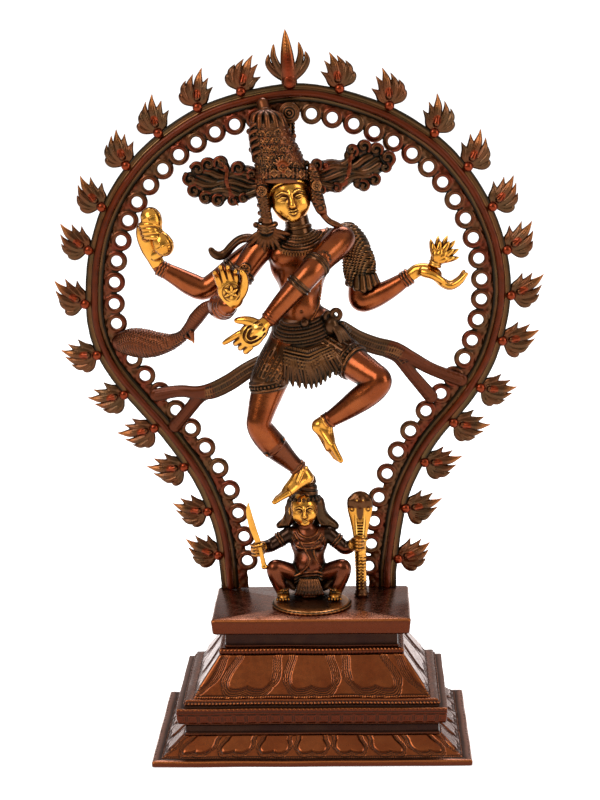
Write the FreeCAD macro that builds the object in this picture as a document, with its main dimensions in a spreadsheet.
"""Brass nataraja statue: a dancing figure on a dwarf, in a flaming aureole, on a two-tier pedestal.

Millimetres, +Z up, front face towards -Y. The origin is the bottom centre of the whole statue's box.
The aureole leans a little, so the pedestal's own middle is a few millimetres to one side of it: every
X below is measured from the pedestal's middle, and the cell pedestal_x moves it into the frame.
"""
import FreeCAD, Part
import math
import os

from FreeCAD import Placement, Rotation, Vector

doc = FreeCAD.newDocument("nataraja_statue")
sheet = doc.addObject("Spreadsheet::Sheet", "Sizes")
values = {}
UP = Vector(0, 0, 1)


# ---------------------------------------------------------------- the sheet

def size(alias, value):
    """Keep one driving dimension in the sheet under its own alias."""
    row = len(values) + 1
    values[alias] = float(value)
    sheet.set(f"A{row}", alias)
    sheet.set(f"B{row}", str(value))
    sheet.setAlias(f"B{row}", alias)


def joint(name, x, y, z, radius):
    """Keep a joint of the figure: where it is, and how thick the limb is there."""
    size(f"{name}_x", x + values["pedestal_x"])
    size(f"{name}_y", y)
    size(f"{name}_z", z)
    size(f"{name}_radius", radius)


def at(name):
    return Vector(*(values[f"{name}_{axis}"] for axis in "xyz"))


size("pedestal_x", 8.4)

# Pedestal: width and depth at the foot and the top of each course, and the heights between them.
COURSES = {
    "flange": (244, 160, 244, 160, 0, 5),
    "lower_slope": (231, 149, 197, 121.5, 5, 18.5),
    "lower_neck": (196, 120.8, 196, 120.8, 18.5, 29.3),
    "cornice_block": (205.2, 128.2, 209.7, 131.9, 29.3, 37.2),
    "cornice_ledge": (209.6, 131.8, 209.4, 131.6, 37.2, 41.2),
    "cornice_beads": (197.3, 121.7, 197.1, 121.5, 41.2, 46.6),
    "upper_slope": (183.2, 110.2, 141.5, 76.1, 46.6, 75.5),
    "rope": (143.2, 77.4, 143, 77.2, 75.5, 81),
    "upper_neck": (134.5, 70.3, 134.3, 70.1, 81, 93.5),
    "slab": (151.8, 88.6, 153.8, 90, 93.5, 106),
}
for course, numbers in COURSES.items():
    for word, number in zip(("foot_width", "foot_depth", "top_width", "top_depth", "foot", "top"), numbers):
        size(f"{course}_{word}", number)
# The cavity inside each casting of the pedestal: width and depth at its foot and at its top.
HOLLOWS = {
    "pedestal_lower_tier": (223, 141, 189, 113.5),
    "pedestal_lower_neck": (188, 112.8, 188, 112.8),
    "pedestal_cornice": (188, 112.8, 172, 98),
    "pedestal_upper_tier": (172, 98, 131, 65),
    "pedestal_rope_moulding": (131, 65, 131, 65),
    "pedestal_upper_neck": (126.5, 62.3, 126.5, 62.3),
    "pedestal_top_slab": (126.5, 62.3, 126.5, 62.3),
}
for hollow, numbers in HOLLOWS.items():
    for word, number in zip(("foot_width", "foot_depth", "top_width", "top_depth"), numbers):
        size(f"{hollow}_{word}", number)
size("slab_plate", 4)

size("disc_radius", 31.6)
size("disc_middle_y", -5.4)
size("disc_thickness", 3)
size("stud_radius", 4)
size("stud_above_plate", 3)
size("stud_length", 24)
size("washer_radius", 10)
size("washer_thickness", 1.6)
size("nut_radius", 7.5)
size("nut_thickness", 6.5)

# Aureole: a flat cast arch standing on the back edge of the slab.
size("aureole_front", 38)
size("aureole_thickness", 7)
size("rib_half_width", 2.6)
size("rib_height", 2)
size("flange_out", 7.5)
size("flange_in", 6.5)
size("tenon_width", 12)
size("tenon_thickness", 4)
size("tenon_length", 4)
size("ring_line", 15.2)
size("ring_radius", 7.6)
size("ring_hole", 4.7)
size("ring_pitch", 18.4)
size("first_ring_left", 30)
size("first_ring_right", 18)
size("ring_thickness", 5)
size("flame_length", 30)
size("flame_thickness", 5)
size("flame_boss", 4.2)
size("flame_rise", 30)
size("crest_scale", 1.35)

# Joints of the dancing figure.
joint("chest", -5, 12, 376, 26)
joint("belly", -4.5, 11, 349, 15.5)
joint("pelvis", 0, 12, 322, 25)
joint("neck_foot", -5, 12, 396, 8.5)
joint("neck_top", -8, 13, 408, 8)
joint("head_middle", -13, 14, 425, 17)
joint("crown_foot", -17.5, 15, 441, 20)
joint("crown_waist", -24, 18, 463, 17)
joint("crown_top", -28.5, 21, 476, 12)

joint("front_right_shoulder", -36, 10, 387, 9.5)
joint("front_right_elbow", -64.5, 2, 344, 7.3)
joint("front_right_wrist", -58.6, -30, 346.5, 5.4)
joint("back_right_shoulder", -35, 21, 385, 9)
joint("back_right_elbow", -81, 22, 352, 7)
joint("back_right_wrist", -114.7, 20, 370.6, 5)
joint("front_left_shoulder", 30, 6, 394, 9.8)
joint("front_left_elbow", 4, -22, 372, 8.2)
joint("front_left_wrist", -28.7, -26, 335.7, 5.4)
joint("back_left_shoulder", 33, 21, 390, 9)
joint("back_left_elbow", 40.5, 20, 340.7, 7)
joint("back_left_wrist", 79.6, 16, 362.2, 5)

joint("standing_hip", -18, 12, 311, 14.5)
joint("standing_knee", -38.8, -3, 250, 8.6)
joint("standing_calf", -31.5, 3, 238, 9.4)
joint("standing_ankle", -7.5, 12, 211, 5.6)
joint("standing_heel", -2, 12.5, 204, 6.6)
joint("standing_ball", -18, 2, 195, 6.2)
joint("standing_toe", -28, -5, 189, 4.2)
joint("raised_hip", 18, 10, 308, 14)
joint("raised_knee", 56.4, -22, 288.5, 8.8)
joint("raised_calf", 46, -20, 278.5, 9.4)
joint("raised_ankle", 13, -14, 253.5, 5.2)
joint("raised_heel", 6, -12.5, 251, 6.2)
joint("raised_ball", 15.5, -20, 236, 5.8)
joint("raised_toe", 21.8, -25, 226, 4)

# Dress, scarves and attributes.
joint("curl_root", -42, 15, 391, 5.5)
joint("curl_bend", -62.8, 16, 389, 4.5)
joint("curl_tip", -75, 16, 382, 3)
joint("snake_tail", -72, 1, 342.5, 4)
joint("snake_bend", -90.3, 10, 325, 5)
joint("snake_neck", -103.2, 18, 312.5, 7.5)
joint("snake_hood", -126, 28, 308.3, 11)
joint("snake_end", -147, 36.5, 310, 6)
joint("sash_right_root", -44, 20, 290, 5.6)
joint("sash_right_fork", -86.4, 29, 268.3, 6.4)
joint("sash_right_upper", -120, 37, 266.8, 5)
joint("sash_right_lower", -106, 37, 241.5, 5)
joint("sash_left_root", 38, 20, 314, 5.6)
joint("sash_left_fork", 78.2, 30, 292.8, 6.4)
joint("sash_left_upper", 118, 37, 276, 5)
joint("sash_left_lower", 95, 37, 262, 5)
joint("drape_top", 37, 27, 385, 6)
joint("drape_foot", 41, 26, 350, 4.6)
joint("drum_foot", -121, 12, 404, 6)
joint("drum_waist", -117, 14, 409.5, 3.4)
joint("drum_top", -113, 16, 415, 6.2)
joint("palm_flame_foot", 98.4, 13, 372.5, 6.5)
joint("palm_flame_middle", 104, 13, 381, 8)
joint("palm_flame_tip", 112, 13, 391, 1.5)

joint("right_pendant_top", -30, 14, 434, 4.5)
joint("right_pendant_foot", -33, 12, 408, 5.5)
joint("left_pendant_top", 6, 14, 434, 4.5)
joint("left_pendant_foot", 13, 12, 411, 5.5)
size("collar_radius", 14)
size("collar_rope", 4.6)
size("bracket_left", -18.6)
size("bracket_width", 10.8)
size("bracket_front", 28)
size("bracket_foot", 455)
size("bracket_height", 36)
size("fan_thickness", 8)
size("fan_front", 14)

# Joints of the dwarf.
joint("dwarf_chest", -2.5, 15, 152, 15)
joint("dwarf_belly", -2, 12, 133, 16)
joint("dwarf_head", -5.4, 15, 178, 11.5)
joint("dwarf_right_shoulder", -21, 17, 157, 6)
joint("dwarf_right_elbow", -33, 14, 148, 5)
joint("dwarf_right_hand", -42.5, 5, 150, 4.6)
joint("dwarf_left_shoulder", 16.5, 17, 157, 6)
joint("dwarf_left_elbow", 26, 16, 145.5, 5)
joint("dwarf_left_hand", 35, 13, 151, 4.6)
joint("dwarf_right_hip", -12, 14, 122, 9)
joint("dwarf_right_knee", -32.5, 1, 137.5, 7)
joint("dwarf_right_foot", -24, 5, 113.5, 5)
joint("dwarf_left_hip", 8, 14, 122, 9)
joint("dwarf_left_knee", 28.3, 1, 137.5, 7)
joint("dwarf_left_foot", 19.2, 5, 113.5, 5)
joint("hair_crown", -2.5, 19, 192, 12.5)
joint("hair_fall", 14, 23, 172, 7)
joint("hair_tip", 19, 23, 163, 4.5)
joint("sword_hilt", -38.3, -1, 139, 2.6)
joint("sword_guard", -40.5, -1.5, 151, 3.6)
joint("sword_belly", -43, -2, 172, 3.2)
joint("sword_tip", -48, -2, 188, 1)
joint("cobra_foot", 38.8, 17, 110, 4.8)
joint("cobra_coil", 38.8, 17, 122, 5.6)
joint("cobra_neck", 38.5, 15, 160, 5)
joint("cobra_hood", 38.6, 14, 177, 9.2)
joint("cobra_top", 38.7, 12, 189, 5)

# Hands: the middle of the palm, of the fingertips and of the thumb's tip, each with a radius, and
# the palm's lean in degrees.
HANDS = {
    "front_right": ((-56.5, -34, 361, 6), (-60, -37, 382, 4.2), (-45.5, -38, 371, 2), 0),
    "back_right": ((-119, 18, 386, 5.8), (-123, 13, 402, 4), (-108, 10, 398, 2), 0),
    "front_left": ((-40.5, -28, 328, 5.6), (-58, -26, 311.5, 3.6), (-50, -29, 333, 1.8), 30),
    "back_left": ((92, 14, 366.5, 5), (119, 12, 363, 3), (104, 11, 372, 2), 0),
}
size("thumb_root", 3)
# Outlines of the two fans of flying hair, seen from the front.
FAN_RIGHT = [(-34, 423), (-52, 420), (-69, 418), (-86, 420), (-94, 429), (-93, 443), (-84, 451), (-66, 454),
             (-48, 450), (-32, 444)]
FAN_LEFT = [(4, 428), (24, 427), (46, 426), (62, 432), (70, 444), (66, 456), (50, 461), (30, 455), (4, 447)]

# Half outlines of the arch's ridge, from the slab up, seen from the front.
RIDGE_LEFT = [(-66.5, 106), (-69.5, 145), (-79, 180), (-94, 209.5), (-118, 243), (-146.5, 277.5),
              (-163, 307), (-168, 340), (-162.5, 386), (-144, 429), (-111, 465), (-67, 490), (-11.5, 501)]
RIDGE_RIGHT = [(59.5, 106), (60.8, 127), (69.8, 181), (91.3, 225), (122.4, 264), (142, 300),
               (151, 350), (140, 402), (112, 447), (74, 477), (31, 495)]
# How far along the ridge from the crest each flame stands.
FLAMES_LEFT = [36, 70, 105, 139, 175, 209, 250, 289, 325, 361, 401, 444, 483]
FLAMES_RIGHT = [36, 75, 114, 149, 184, 218, 252, 287, 326, 360, 401, 444, 487]
# The tongues of one flame: the angle off its axis, and the length as a share of the flame's.
TONGUES = [(-62, 0.5), (-34, 0.68), (0, 1.0), (30, 0.74), (58, 0.56)]

sheet.recompute()


# ------------------------------------------------------------ small helpers

def bind(thing, **expressions):
    for name, expression in expressions.items():
        thing.setExpression(name.replace("__", "."), expression)
    return thing


def ball(name, swell="1"):
    """A sphere at a joint, a little proud of the limb so that it never only touches the cone."""
    sphere = doc.addObject("Part::Sphere", f"{name}_ball")
    bind(sphere, Radius=f"Sizes.{name}_radius * {swell}")
    return move_to(sphere, name)


def move_to(thing, name):
    for axis in "xyz":
        thing.setExpression(f"Placement.Base.{axis}", f"Sizes.{name}_{axis}")
    return thing


def bone(first, last):
    """A tapering round bar from one joint to the next."""
    cone = doc.addObject("Part::Cone", f"{first}_to_{last}")
    squares = " + ".join(f"(Sizes.{last}_{axis} - Sizes.{first}_{axis})^2" for axis in "xyz")
    bind(cone, Radius1=f"Sizes.{first}_radius", Radius2=f"Sizes.{last}_radius", Height=f"sqrt({squares})")
    cone.Placement = Placement(at(first), Rotation(UP, at(last) - at(first)))
    return move_to(cone, first)


def fuse(label, pieces):
    joined = doc.addObject("Part::MultiFuse", label)
    joined.Shapes = pieces
    return joined


def limb(label, names):
    """One casting along a chain of joints."""
    return fuse(label, chain(names))


def chain(names):
    bars = [bone(first, last) for first, last in zip(names, names[1:])]
    return bars + [ball(name, "1.04") for name in names]


def egg(label, name, tall, wide, deep, lean=0.0):
    """An ellipsoid at a joint, its half axes being shares of the joint's radius."""
    shape = doc.addObject("Part::Ellipsoid", label)
    bind(shape, Radius1=f"Sizes.{name}_radius * {tall}", Radius2=f"Sizes.{name}_radius * {wide}",
         Radius3=f"Sizes.{name}_radius * {deep}")
    shape.Angle1 = -90
    shape.Placement = Placement(at(name), Rotation(Vector(0, 1, 0), lean))
    return move_to(shape, name)


def trim(body, *neighbours):
    """Cut a piece back to the faces of the neighbours that it meets."""
    for neighbour in neighbours:
        cut = doc.addObject("Part::Cut", f"{body.Name}_cut")
        cut.Base = body
        cut.Tool = neighbour
        body = cut
    return body


nodes = {}


def node(name, thing):
    thing.Label = name
    nodes[name] = thing
    return thing


# ------------------------------------------------------------- the pedestal

def tapered_block(label, sizes, foot, top):
    """A block with its own foot and top rectangle, drawn along Y and turned to stand on Z."""
    block = doc.addObject("Part::Wedge", label)
    bind(block, Ymin=foot, Ymax=top)
    for level, second in (("foot", ""), ("top", "2")):
        for axis, span in (("X", "width"), ("Z", "depth")):
            block.setExpression(f"{axis}{second}min", f"-Sizes.{sizes}_{level}_{span} / 2")
            block.setExpression(f"{axis}{second}max", f"Sizes.{sizes}_{level}_{span} / 2")
    block.Placement = Placement(Vector(), Rotation(Vector(1, 0, 0), 90))
    return bind(block, Placement__Base__x="Sizes.pedestal_x")


def course(name):
    return tapered_block(f"{name}_block", name, f"Sizes.{name}_foot", f"Sizes.{name}_top")


def shell(label, names):
    """A cast frame of one or more courses, open at the top and underneath."""
    outer = [course(name) for name in names]
    body = fuse(f"{label}_outer", outer) if len(outer) > 1 else outer[0]
    hollow = tapered_block(f"{label}_hollow", label, f"Sizes.{names[0]}_foot", f"Sizes.{names[-1]}_top")
    return node(label, trim(body, hollow))


shell("pedestal_lower_tier", ["flange", "lower_slope"])
shell("pedestal_lower_neck", ["lower_neck"])
shell("pedestal_cornice", ["cornice_block", "cornice_ledge", "cornice_beads"])
shell("pedestal_upper_tier", ["upper_slope"])
shell("pedestal_rope_moulding", ["rope"])
shell("pedestal_upper_neck", ["upper_neck"])


def round_bar(label, radius, foot, length, y="Sizes.disc_middle_y"):
    bar = doc.addObject("Part::Cylinder", label)
    bar.setExpression("Radius", radius)
    bar.setExpression("Height", length)
    bar.setExpression("Placement.Base.x", "Sizes.pedestal_x")
    bar.setExpression("Placement.Base.y", y)
    bar.setExpression("Placement.Base.z", foot)
    return bar


plate_foot = "Sizes.slab_top - Sizes.slab_plate"
stud = round_bar("figure_stud", "Sizes.stud_radius", f"{plate_foot} - Sizes.stud_length + Sizes.slab_plate",
                 "Sizes.stud_length + Sizes.stud_above_plate - 1", "0")
node("figure_stud", stud)
washer_block = round_bar("washer_block", "Sizes.washer_radius", f"{plate_foot} - Sizes.washer_thickness",
                         "Sizes.washer_thickness", "0")
node("stud_washer", trim(washer_block, stud))
nut_block = doc.addObject("Part::Prism", "nut_block")
nut_block.Polygon = 6
bind(nut_block, Circumradius="Sizes.nut_radius", Height="Sizes.nut_thickness",
     Placement__Base__x="Sizes.pedestal_x",
     Placement__Base__z=f"{plate_foot} - Sizes.washer_thickness - Sizes.nut_thickness")
node("stud_nut", trim(nut_block, stud))

disc = round_bar("disc_block", "Sizes.disc_radius", "Sizes.slab_top", "Sizes.disc_thickness")
node("lotus_disc", trim(disc, stud))


# -------------------------------------------------------------- the aureole

front = values["aureole_front"]
back = front + values["aureole_thickness"]


def in_frame(points, y=0.0):
    return [Vector(x + values["pedestal_x"], y, z) for x, z in points]


ridge = Part.BSplineCurve()
ridge.interpolate(in_frame(RIDGE_LEFT + RIDGE_RIGHT[::-1]))
ridge_length = ridge.length()
crest_at = ridge.length(ridge.FirstParameter, ridge.parameter(in_frame(RIDGE_LEFT[-1:])[0]))


def on_ridge(distance, outward=0.0):
    """A point beside the ridge, its distance along the ridge measured from the left foot."""
    where = ridge.parameterAtDistance(distance)
    along = ridge.tangent(where)[0]
    normal = Vector(-along.z, 0, along.x)
    return ridge.value(where) + normal * outward, normal


def edge_line(outward, step=13.0):
    """The ridge line moved outward, as arcs that meet end to end."""
    count = 2 * round(ridge_length / step / 2)
    spots = [on_ridge(ridge_length * k / count, outward)[0] for k in range(count + 1)]
    arcs = [Part.Arc(*spots[k:k + 3]).toShape() for k in range(0, count, 2)]
    return Part.Wire(arcs)


def ribbon(outer, inner, y_front, y_back):
    """A flat band between two lines beside the ridge."""
    first = edge_line(outer)
    second = edge_line(inner)
    ends = [Part.makeLine(first.OrderedVertexes[k].Point, second.OrderedVertexes[k].Point) for k in (0, -1)]
    face = Part.Face(Part.Wire(Part.__sortEdges__(first.Edges + second.Edges + ends)))
    face.translate(Vector(0, y_front, 0))
    return face.extrude(Vector(0, y_back - y_front, 0))


def code_shape(name, shape):
    feature = doc.addObject("Part::Feature", name)
    feature.Shape = shape
    return node(name, feature)


def box_between(low, high):
    return Part.makeBox(high.x - low.x, high.y - low.y, high.z - low.z, low)


slab_top = values["slab_top"]
middle = (front + back) / 2
half_tenon = Vector(values["tenon_width"] / 2, values["tenon_thickness"] / 2, 0)
tenons = []
for foot in (ridge.value(ridge.FirstParameter), ridge.value(ridge.LastParameter)):
    root = Vector(foot.x, middle, slab_top + 1)
    tip = Vector(foot.x, middle, slab_top - values["tenon_length"])
    tenons.append(box_between(tip - half_tenon, root + half_tenon))
plate = ribbon(values["flange_out"], -values["flange_in"], front, back)
rib = ribbon(values["rib_half_width"], -values["rib_half_width"], front - values["rib_height"], front + 1)
floor = box_between(Vector(-200, 0, slab_top - 30), Vector(200, 60, slab_top))
band_shape = plate.fuse(rib).cut(floor).fuse(tenons)
band = code_shape("aureole_band", band_shape)

slab_body = course("slab")
slab_hollow = tapered_block("slab_hollow", "pedestal_top_slab", "Sizes.slab_foot", plate_foot)
node("pedestal_top_slab", trim(slab_body, slab_hollow, band, stud))

ring_front = middle - values["ring_thickness"] / 2
ring_back = middle + values["ring_thickness"] / 2


def ring_spots():
    """Centres of the rings: an even pitch down each leg, on a line inside the ridge."""
    spots = []
    for sign, first, limit in ((-1, values["first_ring_left"], crest_at),
                               (1, values["first_ring_right"], ridge_length - crest_at)):
        distance = first
        while distance < limit - values["ring_radius"]:
            spots.append(on_ridge(crest_at + sign * distance, -values["ring_line"])[0])
            distance += values["ring_pitch"]
    return spots


def pin(centre, radius, y_front, y_back):
    return Part.makeCylinder(radius, y_back - y_front, Vector(centre.x, y_front, centre.z), Vector(0, 1, 0))


web = ribbon(-values["flange_in"], -values["ring_line"] + 1, ring_front, ring_back)
rings = [pin(spot, values["ring_radius"], ring_front, ring_back) for spot in ring_spots()]
holes = [pin(spot, values["ring_hole"], ring_front - 1, ring_back + 1) for spot in ring_spots()]
chain_shape = web.fuse(rings).cut(holes).cut(floor).cut(band_shape)
ring_chain = code_shape("aureole_ring_chain", chain_shape)


def flame(scale=1.0):
    """A leaf of pointed tongues along +X with a round boss at its foot, on the plane y = 0."""
    length = values["flame_length"] * scale
    points = [Vector(-2, 0, -3 * scale)]
    for index, (angle, share) in enumerate(TONGUES):
        turn = math.radians(angle)
        tip = Vector(length * share * math.cos(turn) ** 0.6, 0, length * share * math.sin(turn))
        if index:
            between = math.radians((angle + TONGUES[index - 1][0]) / 2)
            points.append(Vector(length * 0.46 * math.cos(between), 0, length * 0.46 * math.sin(between)))
        points.append(tip)
    points.append(Vector(-2, 0, 3 * scale))
    thickness = values["flame_thickness"]
    leaf = Part.Face(Part.makePolygon(points + points[:1]))
    leaf.translate(Vector(0, middle - thickness / 2, 0))
    leaf = leaf.extrude(Vector(0, thickness, 0))
    boss = pin(Vector(), values["flame_boss"] * scale, front - 1, back)
    return leaf.fuse(boss)


def flames(stations, sign):
    """One flame at each station, its tongues leaning towards the crest."""
    group = []
    for station in stations:
        root, normal = on_ridge(crest_at + sign * station, values["flange_out"] + 1)
        heading = math.degrees(math.atan2(normal.z, normal.x)) - sign * values["flame_rise"] * -1
        leaf = flame()
        leaf.Placement = Placement(Vector(root.x, 0, root.z), Rotation(Vector(0, -1, 0), heading))
        group.append(leaf.cut(band_shape))
    return Part.makeCompound(group)


code_shape("aureole_flames_left", flames(FLAMES_LEFT, -1))
code_shape("aureole_flames_right", flames(FLAMES_RIGHT, 1))
crest_root, crest_normal = on_ridge(crest_at, values["flange_out"] + 1)
crest = flame(values["crest_scale"])
crest.Placement = Placement(Vector(crest_root.x, 0, crest_root.z), Rotation(Vector(0, -1, 0), 94))
code_shape("aureole_flame_crest", crest.cut(band_shape))


# ---------------------------------------------------------------- the dwarf

dwarf_parts = [egg("dwarf_chest_egg", "dwarf_chest", 1.0, 1.15, 0.75),
               egg("dwarf_belly_egg", "dwarf_belly", 0.95, 1.05, 0.85)]
for side in ("right", "left"):
    dwarf_parts += chain([f"dwarf_{side}_{place}" for place in ("shoulder", "elbow", "hand")])
    dwarf_parts += chain([f"dwarf_{side}_{place}" for place in ("hip", "knee", "foot")])
lotus = nodes["lotus_disc"]
dwarf = node("dwarf_body", trim(fuse("dwarf_casting", dwarf_parts), lotus))
dwarf_head = node("dwarf_head", trim(egg("dwarf_head_egg", "dwarf_head", 1.12, 0.95, 1.0), dwarf))
standing_foot_raw = limb("standing_foot_casting", ["standing_heel", "standing_ball", "standing_toe"])
standing_leg_raw = limb("standing_leg_casting",
                        ["standing_hip", "standing_knee", "standing_calf", "standing_ankle"])
foot = node("standing_foot", trim(standing_foot_raw, standing_leg_raw, dwarf_head))
hair_raw = limb("dwarf_hair_casting", ["hair_crown", "hair_fall", "hair_tip"])
hair = node("dwarf_hair", trim(hair_raw, dwarf_head, dwarf, foot, standing_leg_raw))
sword_raw = limb("dwarf_sword_casting", ["sword_hilt", "sword_guard", "sword_belly", "sword_tip"])
node("dwarf_sword", trim(sword_raw, dwarf))
cobra_raw = limb("cobra_casting", ["cobra_foot", "cobra_coil", "cobra_neck", "cobra_hood", "cobra_top"])
node("standing_cobra", trim(cobra_raw, dwarf, nodes["pedestal_top_slab"]))


# ------------------------------------------------------- the dancing figure

torso = node("torso", fuse("torso_casting", [
    egg("chest_egg", "chest", 0.95, 1.12, 0.66),
    egg("belly_egg", "belly", 1.6, 1.05, 0.92),
    egg("pelvis_egg", "pelvis", 0.8, 1.12, 0.74),
] + chain(["neck_foot", "neck_top"])))
head = node("head", trim(egg("head_egg", "head_middle", 1.2, 1.0, 1.0, -14), torso))
crown = node("crown", trim(limb("crown_casting", ["crown_foot", "crown_waist", "crown_top"]), head, torso))

leg = node("standing_leg", trim(standing_leg_raw, torso))
raised_raw = limb("raised_leg_casting", ["raised_hip", "raised_knee", "raised_calf", "raised_ankle"])
raised = node("raised_leg", trim(raised_raw, torso, leg))
raised_foot_raw = limb("raised_foot_casting", ["raised_heel", "raised_ball", "raised_toe"])
node("raised_foot", trim(raised_foot_raw, raised))

arms = {}
for arm in ("front_right", "back_right", "front_left", "back_left"):
    raw = limb(f"{arm}_arm_casting", [f"{arm}_{place}" for place in ("shoulder", "elbow", "wrist")])
    arms[arm] = node(f"{arm}_arm", trim(raw, torso, *arms.values()))



def hand(side):
    """A palm, the four fingers held together, and a thumb."""
    palm, tips, thumb, lean = HANDS[side]
    label = f"{side}_hand"
    joint(f"{label}_palm", *palm)
    joint(f"{label}_tips", *tips)
    joint(f"{label}_thumb", *thumb)
    joint(f"{label}_thumb_root", *palm[:3], values["thumb_root"])
    sheet.recompute()
    shape = [egg(f"{label}_egg", f"{label}_palm", 1.4, 1.35, 0.93, lean)]
    shape += [bone(f"{side}_wrist", f"{label}_palm")]
    shape += [bone(f"{label}_palm", f"{label}_tips"), ball(f"{label}_tips", "1.04")]
    shape += [bone(f"{label}_thumb_root", f"{label}_thumb"), ball(f"{label}_thumb", "1.04")]
    return node(label, trim(fuse(f"{label}_casting", shape), arms[side]))


hands = {side: hand(side) for side in HANDS}
palm_flame = limb("palm_flame_casting", [f"palm_flame_{place}" for place in ("foot", "middle", "tip")])
node("palm_flame", trim(palm_flame, hands["back_left"]))
drum = limb("drum_casting", [f"drum_{place}" for place in ("foot", "waist", "top")])
node("drum", trim(drum, hands["back_right"]))

skirt_egg = doc.addObject("Part::Ellipsoid", "skirt_egg")
bind(skirt_egg, Radius1="Sizes.pelvis_radius * 0.98", Radius2="Sizes.pelvis_radius * 1.34",
     Radius3="Sizes.pelvis_radius * 0.9", Placement__Base__x="Sizes.pelvis_x",
     Placement__Base__y="Sizes.pelvis_y - 2", Placement__Base__z="Sizes.pelvis_z - 13")
skirt_egg.Angle1 = -90
skirt = node("skirt", trim(skirt_egg, torso, leg, raised, *arms.values(), *hands.values()))

# Everything tied to the aureole stops at the plane of its ring chain's front.
behind = doc.addObject("Part::Box", "behind_the_rings")
bind(behind, Length="500", Width="60", Height="600", Placement__Base__x="-250",
     Placement__Base__y="Sizes.aureole_front + (Sizes.aureole_thickness - Sizes.ring_thickness) / 2")


def fork(label, stem, prongs):
    """A scarf end that splits in two."""
    bars = chain(stem)
    for prong in prongs:
        bars += [bone(stem[-1], prong), ball(prong, "1.04")]
    return fuse(f"{label}_casting", bars)


sash_right = fork("sash_right", ["sash_right_root", "sash_right_fork"],
                  ["sash_right_upper", "sash_right_lower"])
sash_left = fork("sash_left", ["sash_left_root", "sash_left_fork"], ["sash_left_upper", "sash_left_lower"])
node("sash_right", trim(sash_right, behind, skirt, leg, raised))
node("sash_left", trim(sash_left, behind, skirt, leg, raised))
snake = limb("snake_casting", [f"snake_{place}" for place in ("tail", "bend", "neck", "hood", "end")])
node("arm_snake", trim(snake, behind, arms["front_right"], arms["back_right"]))
curl = limb("curl_casting", [f"curl_{place}" for place in ("root", "bend", "tip")])
node("shoulder_curl", trim(curl, torso, arms["front_right"], arms["back_right"]))
drape = limb("drape_casting", ["drape_top", "drape_foot"])
node("arm_drape", trim(drape, torso, *arms.values()))

collar_ring = doc.addObject("Part::Torus", "collar_ring")
bind(collar_ring, Radius1="Sizes.collar_radius", Radius2="Sizes.collar_rope")
move_to(collar_ring, "neck_foot")
node("collar", trim(collar_ring, torso, head, *arms.values()))
pendants = fuse("pendants_casting", chain(["right_pendant_top", "right_pendant_foot"])
                + chain(["left_pendant_top", "left_pendant_foot"]))
node("ear_pendants", trim(pendants, head, crown, torso, nodes["collar"]))

bracket_bar = doc.addObject("Part::Box", "bracket_bar")
bind(bracket_bar, Length="Sizes.bracket_width", Height="Sizes.bracket_height",
     Width="Sizes.aureole_front - Sizes.bracket_front + 3",
     Placement__Base__x="Sizes.bracket_left + Sizes.pedestal_x",
     Placement__Base__y="Sizes.bracket_front", Placement__Base__z="Sizes.bracket_foot")
node("crown_bracket", trim(bracket_bar, behind, crown, head))


def fan(label, outline, *neighbours):
    """A flat bunch of flying hair with a soft outline."""
    curve = Part.BSplineCurve()
    curve.interpolate(in_frame(outline, values["fan_front"]), PeriodicFlag=True)
    face = Part.Face(Part.Wire(curve.toShape()))
    plate = doc.addObject("Part::Feature", f"{label}_plate")
    plate.Shape = face.extrude(Vector(0, values["fan_thickness"], 0))
    node(label, trim(plate, *neighbours))


pendants_node = nodes["ear_pendants"]
fan("hair_fan_right", FAN_RIGHT, head, crown, pendants_node)
fan("hair_fan_left", FAN_LEFT, head, crown, pendants_node)

doc.recompute()

bad = [thing.Name for thing in doc.Objects if {"Invalid", "Error"} & set(thing.State)]
for name, thing in nodes.items():
    shape = thing.Shape
    if shape.isNull() or not shape.isValid() or not shape.Solids:
        bad.append(name)
        continue
    print(f"{name:28s} solids {len(shape.Solids):3d}  volume {shape.Volume:10.0f}")
if bad:
    raise SystemExit(f"failed: {bad}")
reach = [thing.Shape.BoundBox for thing in nodes.values()]
print("X from", min(box.XMin for box in reach), "to", max(box.XMax for box in reach))

os.makedirs("parts", exist_ok=True)
for name, thing in nodes.items():
    thing.Shape.exportStep(f"parts/{name}.step")
